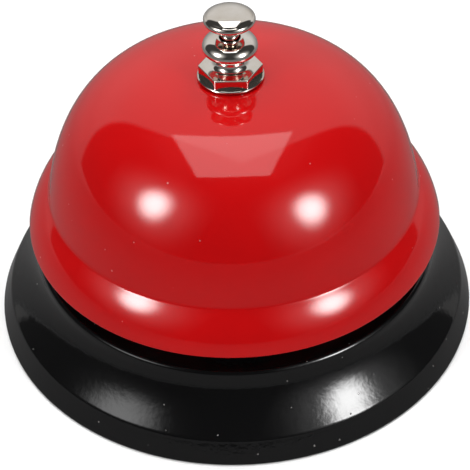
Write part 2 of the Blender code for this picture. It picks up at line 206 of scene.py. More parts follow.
def new_material(name, colour, roughness, metallic=0.0):
    material = bpy.data.materials.new(name)
    material.use_nodes = True
    shader = material.node_tree.nodes["Principled BSDF"]
    shader.inputs["Base Color"].default_value = (*colour, 1.0)
    shader.inputs["Roughness"].default_value = roughness
    shader.inputs["Metallic"].default_value = metallic
    return material, shader


def node(material, kind, **values):
    made = material.node_tree.nodes.new(kind)
    for key, value in values.items():
        if key in made.inputs:
            made.inputs[key].default_value = value
        else:
            setattr(made, key, value)
    return made


def link(material, source, target):
    material.node_tree.links.new(source, target)


def place(material):
    """Coordinates in metres on the object."""
    return node(material, "ShaderNodeTexCoord").outputs["Object"]


def noise(material, coordinates, scale, detail=3.0, roughness=0.5):
    made = node(material, "ShaderNodeTexNoise", Scale=scale, Detail=detail, Roughness=roughness)
    link(material, coordinates, made.inputs["Vector"])
    return made.outputs["Fac"]


def ramp(material, factor, stops):
    made = node(material, "ShaderNodeValToRGB")
    elements = made.color_ramp.elements
    elements[0].position, elements[0].color = stops[0][0], (*[stops[0][1]] * 3, 1.0)
    elements[1].position, elements[1].color = stops[-1][0], (*[stops[-1][1]] * 3, 1.0)
    for position, value in stops[1:-1]:
        element = elements.new(position)
        element.color = (value, value, value, 1.0)
    link(material, factor, made.inputs["Fac"])
    return made.outputs["Color"]


def soft_step(material, value, start, end, low_value, high_value):
    """Goes smoothly from low_value to high_value as value goes from start to end."""
    made = node(material, "ShaderNodeMapRange", interpolation_type="SMOOTHSTEP")
    made.inputs["From Min"].default_value = start
    made.inputs["From Max"].default_value = end
    made.inputs["To Min"].default_value = low_value
    made.inputs["To Max"].default_value = high_value
    link(material, value, made.inputs["Value"])
    return made.outputs["Result"]


def math_node(material, operation, first, second):
    made = node(material, "ShaderNodeMath", operation=operation)
    for index, value in enumerate((first, second)):
        if isinstance(value, (int, float)):
            made.inputs[index].default_value = value
        else:
            link(material, value, made.inputs[index])
    return made.outputs["Value"]


def mixed(material, factor, first, second):
    """Colour that goes from first to second as factor goes from 0 to 1."""
    made = node(material, "ShaderNodeMix", data_type="RGBA")
    link(material, factor, made.inputs["Factor"])
    for socket, value in ((made.inputs[6], first), (made.inputs[7], second)):
        if isinstance(value, tuple):
            socket.default_value = (*value, 1.0)
        else:
            link(material, value, socket)
    return made.outputs[2]


def bump(material, shader, height, distance, socket="Normal"):
    """Relief of the given depth in metres."""
    made = node(material, "ShaderNodeBump", Strength=1.0, Distance=distance)
    link(material, height, made.inputs["Height"])
    link(material, made.outputs["Normal"], shader.inputs[socket])


def specks(material, coordinates, per_metre, size, share, seed):
    """1 on small round specks of dust, 0 elsewhere: one in each Voronoi cell, and only a share are kept."""
    shift = node(material, "ShaderNodeVectorMath", operation="ADD")
    link(material, coordinates, shift.inputs[0])
    shift.inputs[1].default_value = (seed, 2.0 * seed, 3.0 * seed)
    cells = node(material, "ShaderNodeTexVoronoi", Scale=per_metre)
    link(material, shift.outputs["Vector"], cells.inputs["Vector"])
    dot = ramp(material, cells.outputs["Distance"], ((size * 0.6, 1.0), (size, 0.0)))
    pick = node(material, "ShaderNodeSeparateColor")
    link(material, cells.outputs["Color"], pick.inputs["Color"])
    kept = math_node(material, "LESS_THAN", pick.outputs["Red"], share)
    return math_node(material, "MULTIPLY", dot, kept)


def enamel(name, colour, shade, peel, lint):
    """Stoved gloss enamel: slightly uneven colour, orange peel in the clear surface, a little dust."""
    material, shader = new_material(name, colour, 0.3)
    shader.inputs["IOR"].default_value = 1.5
    shader.inputs["Specular IOR Level"].default_value = 0.02
    shader.inputs["Coat Weight"].default_value = 1.0
    shader.inputs["Coat Roughness"].default_value = 0.045
    shader.inputs["Coat IOR"].default_value = 1.5
    where = place(material)
    cloud = noise(material, where, 55.0, 2.0)
    spots = specks(material, where, 210.0, 0.042, 0.9, 0.37)
    grit = specks(material, where, 340.0, 0.05, 0.6, 1.91)
    dust = math_node(material, "MAXIMUM", spots, grit)
    base = mixed(material, ramp(material, cloud, ((0.3, 0.0), (0.7, 1.0))), colour, shade)
    dusted = mixed(material, math_node(material, "MULTIPLY", dust, 0.75), base, lint)
    link(material, dusted, shader.inputs["Base Color"])
    wave = noise(material, where, 430.0, 1.0)
    ripple = noise(material, where, 1300.0, 2.0)
    surface = math_node(material, "ADD", wave, math_node(material, "MULTIPLY", ripple, 0.8))
    raised = math_node(material, "ADD", surface, math_node(material, "MULTIPLY", dust, 1.6))
    bump(material, shader, raised, peel, socket="Coat Normal")
    bump(material, shader, dust, 0.00006)
    return material


def plated(name, colour, roughness, grain=0.0):
    """Plated or bare metal: cloudy roughness, fine polishing lines and faint stains."""
    material, shader = new_material(name, colour, roughness, 1.0)
    where = place(material)
    cloud = noise(material, where, 260.0, 4.0)
    fine = noise(material, where, 2600.0, 3.0)
    stain = ramp(material, cloud, ((0.35, 0.0), (0.75, 1.0)))
    dull = tuple(value * tint for value, tint in zip(colour, (0.86, 0.83, 0.78)))
    link(material, mixed(material, stain, colour, dull), shader.inputs["Base Color"])
    uneven = math_node(material, "MULTIPLY", cloud, roughness * 0.6)
    rough = math_node(material, "ADD", roughness * 0.7, uneven)
    link(material, rough, shader.inputs["Roughness"])
    height = math_node(material, "ADD", math_node(material, "MULTIPLY", fine, 0.6), cloud)
    bump(material, shader, height, 0.0000025 + grain)
    return material


def turned_metal(name, colour, roughness):
    """Metal with the fine rings that a lathe leaves, and small dents."""
    material, shader = new_material(name, colour, roughness, 1.0)
    where = place(material)
    rings = node(
        material, "ShaderNodeTexWave", bands_direction="Z", Scale=1100.0, Distortion=1.5, Detail=2.0
    )
    link(material, where, rings.inputs["Vector"])
    cloud = noise(material, where, 500.0, 4.0)
    dark = tuple(value * 0.62 for value in colour)
    tone = ramp(material, cloud, ((0.3, 0.0), (0.8, 1.0)))
    link(material, mixed(material, tone, colour, dark), shader.inputs["Base Color"])
    uneven = math_node(material, "MULTIPLY", cloud, roughness * 0.5)
    rough = math_node(material, "ADD", roughness * 0.75, uneven)
    link(material, rough, shader.inputs["Roughness"])
    ridges = math_node(material, "MULTIPLY", rings.outputs["Fac"], 0.5)
    height = math_node(material, "ADD", ridges, cloud)
    bump(material, shader, height, 0.000008)
    return material


def rubber_material():
    material, shader = new_material("rubber", (0.018, 0.018, 0.018), 0.8)
    where = place(material)
    cloud = noise(material, where, 180.0, 4.0)
    grain = noise(material, where, 3200.0, 2.0)
    dusty = ramp(material, cloud, ((0.45, 0.0), (0.8, 1.0)))
    tone = mixed(material, dusty, (0.016, 0.016, 0.016), (0.05, 0.048, 0.045))
    link(material, tone, shader.inputs["Base Color"])
    rough = math_node(material, "ADD", 0.68, math_node(material, "MULTIPLY", cloud, 0.25))
    link(material, rough, shader.inputs["Roughness"])
    bump(material, shader, grain, 0.00004)
    return material


def fibre_material():
    material, shader = new_material("red_fibre", (0.2, 0.035, 0.02), 0.75)
    where = place(material)
    stretch = node(material, "ShaderNodeMapping")
    stretch.inputs["Scale"].default_value = (900.0, 900.0, 3800.0)
    link(material, where, stretch.inputs["Vector"])
    strands = noise(material, stretch.outputs["Vector"], 1.0, 5.0, 0.7)
    tone = ramp(material, strands, ((0.3, 0.0), (0.7, 1.0)))
    colour = mixed(material, tone, (0.13, 0.02, 0.014), (0.27, 0.06, 0.035))
    link(material, colour, shader.inputs["Base Color"])
    bump(material, shader, strands, 0.00005)
    return material


RED = (0.50, 0.0022, 0.0030)
BLACK = (0.0022, 0.0022, 0.0024)
MATERIALS = {
    "red_enamel": enamel("red_enamel", RED, (0.46, 0.0018, 0.0026), 0.0000035, (0.62, 0.2, 0.2)),
    "black_enamel": enamel("black_enamel", BLACK, (0.0030, 0.0030, 0.0032), 0.000018, (0.24, 0.23, 0.22)),
    "bright_nickel": plated("bright_nickel", (0.80, 0.765, 0.72), 0.07),
    "zinc_steel": plated("zinc_steel", (0.56, 0.57, 0.57), 0.3, 0.000004),
    "spring_steel": plated("spring_steel", (0.38, 0.38, 0.40), 0.26, 0.000003),
    "brass": turned_metal("brass", (0.70, 0.47, 0.17), 0.24),
    "red_fibre": fibre_material(),
    "rubber": rubber_material(),
}
BARE_STEEL = turned_metal("turned_steel", (0.52, 0.52, 0.52), 0.28)


def finish_piece(obj, slot, body, cad_node):
    """Paints a new piece, lets it ride on its body and hides the CAD node that it stands for."""
    obj.data.materials.clear()
    obj.data.materials.append(MATERIALS[slot])
    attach(obj, body)
    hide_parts(cad_node)
    return obj


# ---------------------------------------------------------------- gong and base

GONG_SPAN = 33.13 * MM
GONG_LOW = -4.35 * MM
GONG_POWER = 3.45
GONG_WALL = 1.0 * MM
GONG_BORE = 3.35 * MM
GONG_STEPS = 64
GONG_FIRST_STEP = 8
GONG_CREASE_START = 31.4 * MM
GONG_CREASE = ((31.4, 26.3), (31.55, 25.45), (31.8, 25.2))
GONG_LIP = ((31.8, 25.2), (34.55, 22.5), (35.48, 18.84))


def crown_height(radius):
    """Height of the domed crown: a curve squarer than a circle that reaches its top on the axis."""
    top = high("gong").z
    share = 1.0 - (radius / GONG_SPAN) ** GONG_POWER
    return GONG_LOW + (top - GONG_LOW) * share ** (1.0 / GONG_POWER)


def gong_outside():
    """Crown from the bore outwards, the crease, and the flared lip."""
    points = [(GONG_BORE, crown_height(GONG_BORE))]
    for step in range(GONG_FIRST_STEP, GONG_STEPS + 1):
        radius = GONG_CREASE_START * math.sin(math.pi / 2 * step / GONG_STEPS)
        points.append((radius, crown_height(radius)))
    return points + bend(in_mm(GONG_CREASE), 8)[1:] + bend(in_mm(GONG_LIP), 26)[1:]


def make_gong():
    outline = shell(gong_outside(), GONG_WALL, 10)
    return finish_piece(loft("gong_bowl", outline, ROUND, angle=50), "red_enamel", "bell", "gong")


DECK_TOP = high("base_shell").z
BASE_WALL = 0.9 * MM
DECK_BORE = 17.0 * MM
BASE_SHOULDER = ((33.7, 14.0), (34.6, 14.0), (34.7, 13.0))
BASE_FLARE = ((34.75, 12.5), (35.5, 9.2), (40.05, 4.6))
BASE_ROLL_CORNER = ((40.05, 4.6), (40.35, 4.3), (40.5, 3.9))
BASE_ROLL = ((40.5, 3.9), (41.3, 2.2), (42.0, 0.6))


def base_outside():
    """Deck, rounded shoulder, short wall, hollow flare and rolled foot."""
    shoulder = in_mm(BASE_SHOULDER)
    reach = shoulder[0][0] - DECK_BORE
    deck = [(DECK_BORE + reach * step / 10, DECK_TOP) for step in range(10)]
    flare = bend(in_mm(BASE_FLARE), 28)
    foot = bend(in_mm(BASE_ROLL_CORNER), 8)[1:] + bend(in_mm(BASE_ROLL), 12)[1:]
    return deck + bend(shoulder, 12) + flare + foot


def make_base():
    outline = shell(base_outside(), BASE_WALL, 10)
    obj = loft("base_pan", outline, ROUND, angle=50)
    return finish_piece(obj, "black_enamel", "bell", "base_shell")


RING_GROOVE = ((37.0, 0.0), (38.2, 0.0), (38.4, 0.35), (38.8, 0.35), (39.0, 0.0), (40.4, 0.0))
RING_TOP = ((40.4, 1.3), (39.7, 2.6), (38.2, 4.2), (37.0, 4.2))
RING_EDGE = 0.25 * MM


def make_ring():
    """Rubber ring with a groove in the face that it stands on."""
    outline = rounded(in_mm(RING_GROOVE + RING_TOP), RING_EDGE, 3)
    return finish_piece(loft("foot_ring", outline, ROUND), "rubber", "bell", "non_slip_ring")


# ---------------------------------------------------------------- top hardware

HEX_SHARPNESS = 70.0


def hexagon(apothem):
    """Radius of a hexagon with slightly rounded corners, with a flat facing -Y."""
    flats = [math.radians(30 + 60 * side) for side in range(6)]

    def radius(angle):
        total = sum(max(0.0, math.cos(angle - flat)) ** HEX_SHARPNESS for flat in flats)
        return apothem * total ** (-1.0 / HEX_SHARPNESS)

    return radius


CHAMFER_SHARPNESS = 60.0


def at_most(radius, limit):
    """A radius function that is rounded off to stay under a limit."""
    power = CHAMFER_SHARPNESS

    def result(angle):
        return (radius(angle) ** -power + limit ** -power) ** (-1.0 / power)

    return result


FINIAL_SEGMENTS = 288
FINIAL_APOTHEM = 4.56 * MM
FINIAL_HEX_TOP = 49.25 * MM
FINIAL_BORE = 1.75 * MM
FINIAL_SOCKET = 3.3 * MM
FINIAL_SOCKET_TOP = 48.9 * MM
NECK_FOOT = 3.5 * MM
NECK_RADIUS = 2.36 * MM
NECK_TOP = 51.55 * MM
COLLAR_UNDER = ((2.4, 51.72), (2.55, 51.84), (3.1, 51.86))
COLLAR_SIDE = ((3.5, 51.88), (4.5, 52.0), (4.5, 52.9))
COLLAR_CROWN = ((4.5, 52.9), (4.45, 54.05), (2.95, 54.58))
COLLAR_LIP_START = (2.95 * MM, 54.58 * MM)
COLLAR_LIP_PULL = (2.4 * MM, 54.8 * MM)
COLLAR_LIP_END = 2.05 * MM


def make_finial():
    """Thin flange, hexagon, waisted neck and rounded collar, as one closed surface."""
    bottom = low("finial_nut").z
    top = high("finial_nut").z
    flange = (high("finial_nut").x - low("finial_nut").x) / 2
    apothem = FINIAL_APOTHEM
    hex_low, hex_top = bottom + 0.42 * MM, FINIAL_HEX_TOP
    full = hexagon(apothem)
    rings = [(FINIAL_SOCKET, bottom), (flange - 0.12 * MM, bottom)]
    rings += [(flange, bottom + 0.12 * MM), (flange, bottom + 0.26 * MM)]
    rings.append((flange - 0.1 * MM, bottom + 0.38 * MM))
    rings += [(flange - 0.17 * MM, hex_low), (hexagon(apothem + 0.06 * MM), hex_low)]
    rings += [(full, hex_low + 0.08 * MM), (full, hex_top - 0.24 * MM)]
    for step in range(1, 6):
        turn = math.pi / 2 * step / 5
        inset = 0.16 * MM * (1 - math.cos(turn))
        rings.append((hexagon(apothem - inset), hex_top - 0.16 * MM * (1 - math.sin(turn))))
    rings.append((3.62 * MM, hex_top))
    rings += neck_and_collar(hex_top, top)
    rings += [(FINIAL_BORE, top - 0.1 * MM), (FINIAL_BORE, FINIAL_SOCKET_TOP)]
    rings.append((FINIAL_SOCKET, FINIAL_SOCKET_TOP))
    obj = loft("finial", rings, FINIAL_SEGMENTS, angle=28)
    return finish_piece(obj, "bright_nickel", "bell", "finial_nut")


def neck_and_collar(base, top):
    """Outline of the waisted neck and the collar above it, from the hexagon's top face upwards."""
    foot = (NECK_FOOT, base + 0.02 * MM)
    waist = (NECK_RADIUS, base + 1.35 * MM)
    fillet = bend((foot, (2.42 * MM, base + 0.12 * MM), waist), 12)
    under = [(NECK_RADIUS, NECK_TOP)] + bend(in_mm(COLLAR_UNDER), 4)
    side = bend(in_mm(COLLAR_SIDE), 12)
    crown = bend(in_mm(COLLAR_CROWN), 18)[1:]
    lip = bend((COLLAR_LIP_START, COLLAR_LIP_PULL, (COLLAR_LIP_END, top - 0.01 * MM)), 5)[1:]
    return fillet + under + side + crown + lip


CAP_SHOULDER = (3.75 * MM, 58.66 * MM)
CAP_RIM_HIGH = 58.05 * MM
CAP_SOCKET = 1.56 * MM
CAP_SOCKET_TOP = 58.4 * MM


def make_button():
    """Thin domed cap with a rolled rim and a blind hole for the rod."""
    top = high("push_button").z
    base = low("push_button").z
    rim = (high("push_button").x - low("push_button").x) / 2
    crown = bend(((0.0, top), (2.9 * MM, top - 0.02 * MM), CAP_SHOULDER), 18)
    edge = bend((CAP_SHOULDER, (rim, 58.45 * MM), (rim, CAP_RIM_HIGH)), 8)[1:]
    under = bend(((rim, CAP_RIM_HIGH), (rim, 57.5 * MM), (3.6 * MM, base)), 8)[1:]
    inside = [(3.3 * MM, base + 0.02 * MM), (2.6 * MM, base + 0.12 * MM), (1.8 * MM, base + 0.12 * MM)]
    socket = [(CAP_SOCKET, base + 0.2 * MM), (CAP_SOCKET, CAP_SOCKET_TOP), (0.0, CAP_SOCKET_TOP)]
    obj = loft("button_cap", crown + edge + under + inside + socket, FINE * 2, angle=35)
    return finish_piece(obj, "bright_nickel", "plunger", "push_button")


ROD_RADIUS = 1.5 * MM
ROD_TAIL = 1.0 * MM
ROD_STEP = 35.6 * MM


def make_rod():
    """Stem with a chamfered top, a step just above the collar, and a thinner tail with a round tip."""
    top = high("plunger_rod").z
    tip = low("plunger_rod").z
    profile = [(0.0, top), (1.3 * MM, top), (ROD_RADIUS, top - 0.2 * MM)]
    profile += [(ROD_RADIUS, ROD_STEP + 0.2 * MM), (1.35 * MM, ROD_STEP)]
    profile += [(ROD_TAIL, ROD_STEP), (ROD_TAIL, tip + ROD_TAIL)]
    for step in range(1, 9):
        turn = math.pi / 2 * step / 8
        profile.append((ROD_TAIL * math.cos(turn), tip + ROD_TAIL * (1 - math.sin(turn))))
    obj = loft("button_rod", profile, FINE, angle=35)
    return finish_piece(obj, "bright_nickel", "plunger", "plunger_rod")


# ---------------------------------------------------------------- hidden mechanism

BORES = {
    "post_washer": 3.25 * MM,
    "steel_washer": 3.25 * MM,
    "gong_washer": 3.25 * MM,
    "rod_collar": 1.15 * MM,
}


def ring_piece(name, node_name, body, slot, corner=0.1):
    """A washer or collar with rounded edges, read from its CAD solid's box and a bore."""
    bottom, top = low(node_name), high(node_name)
    outer = (top.x - bottom.x) / 2
    bore = BORES[node_name]
    outline = [(bore, bottom.z), (outer, bottom.z), (outer, top.z), (bore, top.z)]
    obj = loft(name, rounded(outline, corner * MM, 4), FINE)
    return finish_piece(obj, slot, body, node_name)


NUT_APOTHEM = 4.5 * MM
NUT_BORE = 3.25 * MM
NUT_BORE_EDGE = 0.25 * MM
NUT_CHAMFER = ((0.0, 0.89), (0.04, 0.905), (0.12, 0.93), (0.24, 0.96), (0.4, 1.0), (0.6, 1.06))


def make_nut(name, node_name):
    """A hexagon nut with domed chamfers on both faces."""
    bottom, top = low(node_name).z, high(node_name).z
    corner = NUT_APOTHEM / math.cos(math.radians(30))
    full = hexagon(NUT_APOTHEM)
    mouth = NUT_BORE + NUT_BORE_EDGE
    rings = [(NUT_BORE, bottom + NUT_BORE_EDGE), (mouth, bottom)]
    for rise, share in NUT_CHAMFER:
        rings.append((at_most(full, corner * share), bottom + rise * MM))
    for rise, share in reversed(NUT_CHAMFER):
        rings.append((at_most(full, corner * share), top - rise * MM))
    rings += [(mouth, top), (NUT_BORE, top - NUT_BORE_EDGE)]
    return finish_piece(loft(name, rings, 144, angle=25), "zinc_steel", "bell", node_name)


def thread(radius, pitch, depth, level):
    """Radius at one level of a screw thread, as a function of the angle."""

    def result(angle):
        phase = (level / pitch - angle / (2 * math.pi)) % 1.0
        return radius - depth * abs(2 * phase - 1)

    return result


THREAD_RADIUS = 3.0 * MM
THREAD_PITCH = 0.7 * MM
THREAD_DEPTH = 0.32 * MM
POST_NECK = 2.9 * MM
POST_BORE_LOW = 1.3 * MM
POST_BORE_HIGH = 2.25 * MM
SPRING_SEAT = 27.0 * MM


def make_post():
    """Hollow bolt with a round head below and a screw thread all the way up."""
    bottom, top = low("center_post").z, high("center_post").z
    head = (high("center_post").x - low("center_post").x) / 2
    shoulder = bottom + 1.0 * MM
    rings = [(POST_BORE_LOW, bottom), (head - 0.3 * MM, bottom)]
    rings += [(head, bottom + 0.3 * MM), (head, shoulder)]
    rings += [(POST_NECK, shoulder), (POST_NECK, shoulder + 0.6 * MM)]
    start, end = shoulder + 0.8 * MM, top - 0.3 * MM
    steps = int((end - start) / (THREAD_PITCH / 6))
    for step in range(steps + 1):
        level = start + (end - start) * step / steps
        rings.append((thread(THREAD_RADIUS, THREAD_PITCH, THREAD_DEPTH, level), level))
    rings += [(2.6 * MM, top), (POST_BORE_HIGH, top)]
    rings += [(POST_BORE_HIGH, SPRING_SEAT), (POST_BORE_LOW, SPRING_SEAT)]
    return finish_piece(loft("post_bolt", rings, 48, angle=60), "zinc_steel", "bell", "center_post")


def make_rivets():
    for number in range(1, 5):
        node_name = f"bracket_rivet_{number}"
        bottom, top = low(node_name), high(node_name)
        centre = ((bottom.x + top.x) / 2, (bottom.y + top.y) / 2)
        foot = top.z - 1.0 * MM
        under = bottom.z + 0.7 * MM
        dome = bend(((0.0, top.z), (1.75 * MM, top.z), (1.9 * MM, foot)), 8)
        tail = bend(((1.7 * MM, under), (1.6 * MM, bottom.z), (0.0, bottom.z)), 8)
        profile = dome + [(1.0 * MM, foot), (1.0 * MM, under)] + tail
        obj = loft(f"rivet_{number}", profile, 48, centre, angle=40)
        finish_piece(obj, "zinc_steel", "bell", node_name)


def make_slug():
    node_name = "hammer_slug"
    bottom, top = low(node_name), high(node_name)
    centre = ((bottom.x + top.x) / 2, 0.0)
    radius = (top.x - bottom.x) / 2
    shoulder = bottom.z + 3.9 * MM
    head = top.z - 0.7 * MM
    foot = bend(((0.0, bottom.z), (radius, bottom.z), (radius, bottom.z + 1.3 * MM)), 14)
    waist = [(radius, bottom.z + 1.7 * MM), (radius - 0.12 * MM, bottom.z + 1.82 * MM)]
    waist.append((radius, bottom.z + 1.94 * MM))
    upper = bend(((radius, shoulder - 0.9 * MM), (radius, shoulder), (radius - 0.9 * MM, shoulder)), 8)
    shank = [(0.9 * MM, shoulder), (0.9 * MM, head)]
    cap = bend(((1.6 * MM, head), (1.45 * MM, top.z), (0.0, top.z)), 8)
    obj = loft("hammer_head", foot + waist + upper + shank + cap, FINE, centre, angle=35)
    return finish_piece(obj, "brass", "hammer", node_name)


SPRING_TURNS = 7
SPRING_WIRE = 0.2 * MM


def make_spring():
    """The coil with its last half turns closed up."""
    bottom, top = low("return_spring").z + SPRING_WIRE, high("return_spring").z - SPRING_WIRE
    mean = (high("return_spring").x - low("return_spring").x) / 2 - SPRING_WIRE
    per_turn, sides = 40, 12
    steps = SPRING_TURNS * per_turn
    vertices = []
    for step in range(steps + 1):
        turn = 2 * math.pi * step / per_turn
        share = step / steps
        level = bottom + (top - bottom) * (share - 0.06 * math.sin(2 * math.pi * share))
        for side in range(sides):
            around = 2 * math.pi * side / sides
            r = mean + SPRING_WIRE * math.cos(around)
            vertices.append((r * math.cos(turn), r * math.sin(turn), level + SPRING_WIRE * math.sin(around)))
    faces = [list(range(sides)), list(range(steps * sides, (steps + 1) * sides))]
    for step in range(steps):
        for side in range(sides):
            after = (side + 1) % sides
            one, two = step * sides, (step + 1) * sides
            faces.append([one + side, one + after, two + after, two + side])
    obj = mesh_object("coil_spring", vertices, faces, 60)
    finish_piece(obj, "spring_steel", "bell", "return_spring")
    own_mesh(obj)


def keep_node(node_name, slot, width, material=None):
    """A CAD solid whose shape is right: its edges are softened and it gets its finish."""
    obj = frame["nodes"][node_name]
    weld = obj.modifiers.new("weld", "WELD")
    weld.merge_threshold = 0.000001
    soften = obj.modifiers.new("soften", "BEVEL")
    soften.width = width
    soften.segments = 3
    soften.limit_method = "ANGLE"
    soften.angle_limit = math.radians(40)
    soften.harden_normals = False
    obj.data.materials.clear()
    obj.data.materials.append(material or MATERIALS[slot])


# ---------------------------------------------------------------- studio

CAMERA_ELEVATION = math.radians(40.3)
CAMERA_DISTANCE = 0.26
CAMERA_AIM = Vector((0.0, 0.0, 0.025))
CAMERA_DIP = math.radians(2.08)
CAMERA_ROLL = math.radians(1.52)
CAMERA_LENS = 116.3
LIGHTS_AIM = Vector((0.0, 0.0, 0.03))


def make_camera():
    """Stands in front of the object and above it, turned a little off its aim and rolled a little."""
    back = Vector((0.0, -math.cos(CAMERA_ELEVATION), math.sin(CAMERA_ELEVATION)))
    right = Vector((1.0, 0.0, 0.0))
    up = back.cross(right)
    dipped = back * math.cos(CAMERA_DIP) + up * math.sin(CAMERA_DIP)
    upright = dipped.cross(right)
    across = right * math.cos(CAMERA_ROLL) - upright * math.sin(CAMERA_ROLL)
    above = dipped.cross(across)
    data = bpy.data.cameras.new("camera")
    data.sensor_width = 36.0
    data.lens = CAMERA_LENS
    data.clip_start = 0.01
    data.clip_end = 50.0
    camera = bpy.data.objects.new("camera", data)
    bpy.context.scene.collection.objects.link(camera)
    turn = Matrix((across, above, dipped)).transposed().to_4x4()
    camera.matrix_world = Matrix.Translation(CAMERA_AIM + back * CAMERA_DISTANCE) @ turn
    bpy.context.scene.camera = camera


def toward(azimuth, elevation):
    """A unit vector. Azimuth 0 is -Y, where the camera is, and grows towards +X."""
    a, e = math.radians(azimuth), math.radians(elevation)
    return Vector((math.sin(a) * math.cos(e), -math.cos(a) * math.cos(e), math.sin(e)))


def aim_at_object(obj, direction, distance):
    obj.location = LIGHTS_AIM + direction * distance
    obj.rotation_mode = "QUATERNION"
    obj.rotation_quaternion = direction.to_track_quat("Z", "Y")


def area_light(name, direction, distance, size, watts, shape="DISK", size_y=None):
    """Lights the diffuse surfaces. The glossy ones see the cards instead."""
    data = bpy.data.lights.new(name, "AREA")
    data.shape = shape
    data.size = size
    if size_y:
        data.size_y = size_y
    data.energy = watts
    light = bpy.data.objects.new(name, data)
    bpy.context.scene.collection.objects.link(light)
    aim_at_object(light, direction, distance)
    light.visible_camera = False
    light.visible_glossy = False


def rectangle(name, width, height):
    """A flat sheet in its own X and Y, facing +Z."""
    x, y = width / 2, height / 2
    mesh = bpy.data.meshes.new(name)
    mesh.from_pydata([(-x, -y, 0), (x, -y, 0), (x, y, 0), (-x, y, 0)], [], [(0, 1, 2, 3)])
    obj = bpy.data.objects.new(name, mesh)
    bpy.context.scene.collection.objects.link(obj)
    return obj


def card(name, direction, distance, width, height, build):
    """A glowing card that only reflections see."""
    obj = rectangle(name, width, height)
    aim_at_object(obj, direction, distance)
    material = bpy.data.materials.new(name)
    material.use_nodes = True
    tree = material.node_tree
    tree.nodes.clear()
    output = tree.nodes.new("ShaderNodeOutputMaterial")
    glow = tree.nodes.new("ShaderNodeEmission")
    clear = tree.nodes.new("ShaderNodeBsdfTransparent")
    joined = tree.nodes.new("ShaderNodeAddShader")
    tree.links.new(glow.outputs[0], joined.inputs[0])
    tree.links.new(clear.outputs[0], joined.inputs[1])
    tree.links.new(joined.outputs[0], output.inputs["Surface"])
    build(material, glow)
    obj.data.materials.append(material)
    obj.visible_camera = False
    obj.visible_diffuse = False
    obj.visible_shadow = False
    obj.visible_transmission = False
    return obj


def soft_lamp(peak, half_width, half_height, halo, halo_spread):
    """A soft box: an oval core, half as bright at its half width and height, in a wide faint halo."""

    def build(material, glow):
        shape = node(material, "ShaderNodeMapping")
        shape.inputs["Scale"].default_value = (1.0 / half_width, 1.0 / half_height, 1.0)
        link(material, place(material), shape.inputs["Vector"])
        oval = node(material, "ShaderNodeVectorMath", operation="LENGTH")
        link(material, shape.outputs["Vector"], oval.inputs[0])
        core = fall_off(material, oval.outputs["Value"], 3.0, peak)
        away = node(material, "ShaderNodeVectorMath", operation="LENGTH")
        link(material, place(material), away.inputs[0])
        far_out = math_node(material, "DIVIDE", away.outputs["Value"], halo_spread)
        wide = fall_off(material, far_out, 2.0, halo)
        link(material, math_node(material, "ADD", core, wide), glow.inputs["Strength"])

    return build


def fall_off(material, distance, power, peak):
    """peak at 0, half of it at 1, and nothing far out. A higher power gives a flatter top."""
    raised = math_node(material, "POWER", distance, power)
    share = math_node(material, "EXPONENT", math_node(material, "MULTIPLY", raised, -math.log(2.0)), 0.0)
    return math_node(material, "MULTIPLY", share, peak)


def soft_panel(peak, half_width, half_height, edge):
    """Even brightness inside a rectangle, with soft edges."""

    def build(material, glow):
        where = place(material)
        parts = node(material, "ShaderNodeSeparateXYZ")
        link(material, where, parts.inputs[0])
        total = peak
        for socket, half in (("X", half_width), ("Y", half_height)):
            away = math_node(material, "ABSOLUTE", parts.outputs[socket], 0.0)
            fall = soft_step(material, away, half - edge, half + edge, 1.0, 0.0)
            total = math_node(material, "MULTIPLY", fall, total)
        link(material, total, glow.inputs["Strength"])

    return build


LAMP_DISTANCE = 1.2
LEFT_LAMP = (-56, 30)
RIGHT_LAMP = (51, 25)
LAMP_HALF_WIDTH = 0.165
LAMP_HALF_HEIGHT = 0.220
LAMP_PEAK = 21.0
HALO_PEAK = 1.7
HALO_SPREAD = 0.34
LAMP_CARD = 1.6
DIM_LAMP_PEAK = 3.2
DIM_LAMP_WIDENING = 1.7
DIM_HALO_PEAK = 0.3
DIM_LAMP_FURTHER = 1.1
KEY_SIZE = 0.30
KEY_WATTS = 4.6

OVERHEAD = (180, 84)
PANEL_DISTANCE = 0.9
PANEL_CARD = 1.0
PANEL_PEAK = 2.3
PANEL_HALF_WIDTH = 0.29
PANEL_HALF_HEIGHT = 0.33
PANEL_EDGE = 0.015
CEILING_WIDTH = 1.0
CEILING_DEPTH = 0.75
CEILING_WATTS = 9.2


